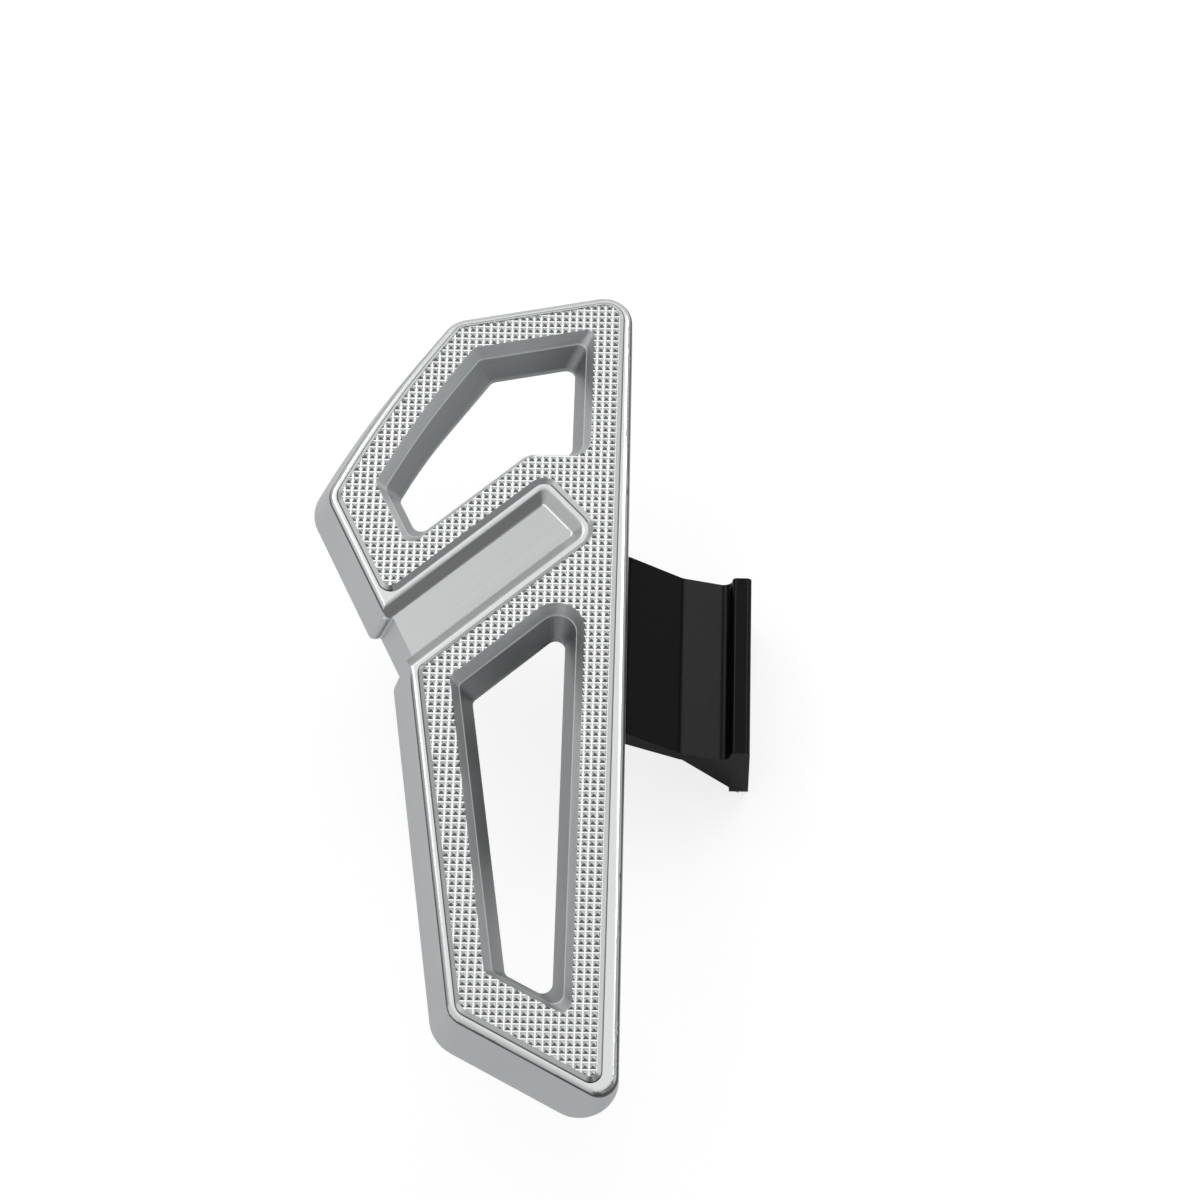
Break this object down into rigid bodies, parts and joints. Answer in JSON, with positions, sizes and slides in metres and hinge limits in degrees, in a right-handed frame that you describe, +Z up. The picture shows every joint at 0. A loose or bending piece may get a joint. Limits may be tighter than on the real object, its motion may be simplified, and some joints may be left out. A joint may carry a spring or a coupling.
{
  "type": "motorcycle floorboard",
  "caption": "Folding motorcycle floorboard: knurled billet board with two large windows and a slanting channel, hinged on a cast bracket that bolts to the frame.",
  "frame": {"origin": "centre of the two bolt holes on the bracket's mounting face", "axes": "+X inboard towards the motorcycle, +Y forward, +Z up; the board reaches out along -X"},
  "size_m": [0.1822, 0.3661, 0.088],
  "materials": {
    "billet": "satin machined",
    "lug": "machined",
    "bracket_paint": "satin black",
    "bush": "sintered bronze",
    "steel": "zinc plated",
    "bumper_rubber": "matt"
  },
  "bodies": {
    "bracket": {"support_bracket": "bracket_paint", "front_pivot_bush": "bush", "rear_pivot_bush": "bush", "stop_bumpers": "bumper_rubber"},
    "footboard": {"board": "billet", "front_hinge_lug": "lug", "rear_hinge_lug": "lug", "front_lug_screws": "steel", "rear_lug_screws": "steel", "front_lock_washers": "steel", "rear_lock_washers": "steel", "pivot_pin": "steel", "pin_washer": "steel", "pin_clip": "steel"}
  },
  "joints": [
    {"name": "fold", "type": "hinge", "parent": "bracket", "child": "footboard", "pos_m": [-0.064, 0, 0.039], "axis": [0, 1, 0], "range_deg": [0, 45]}
  ]
}
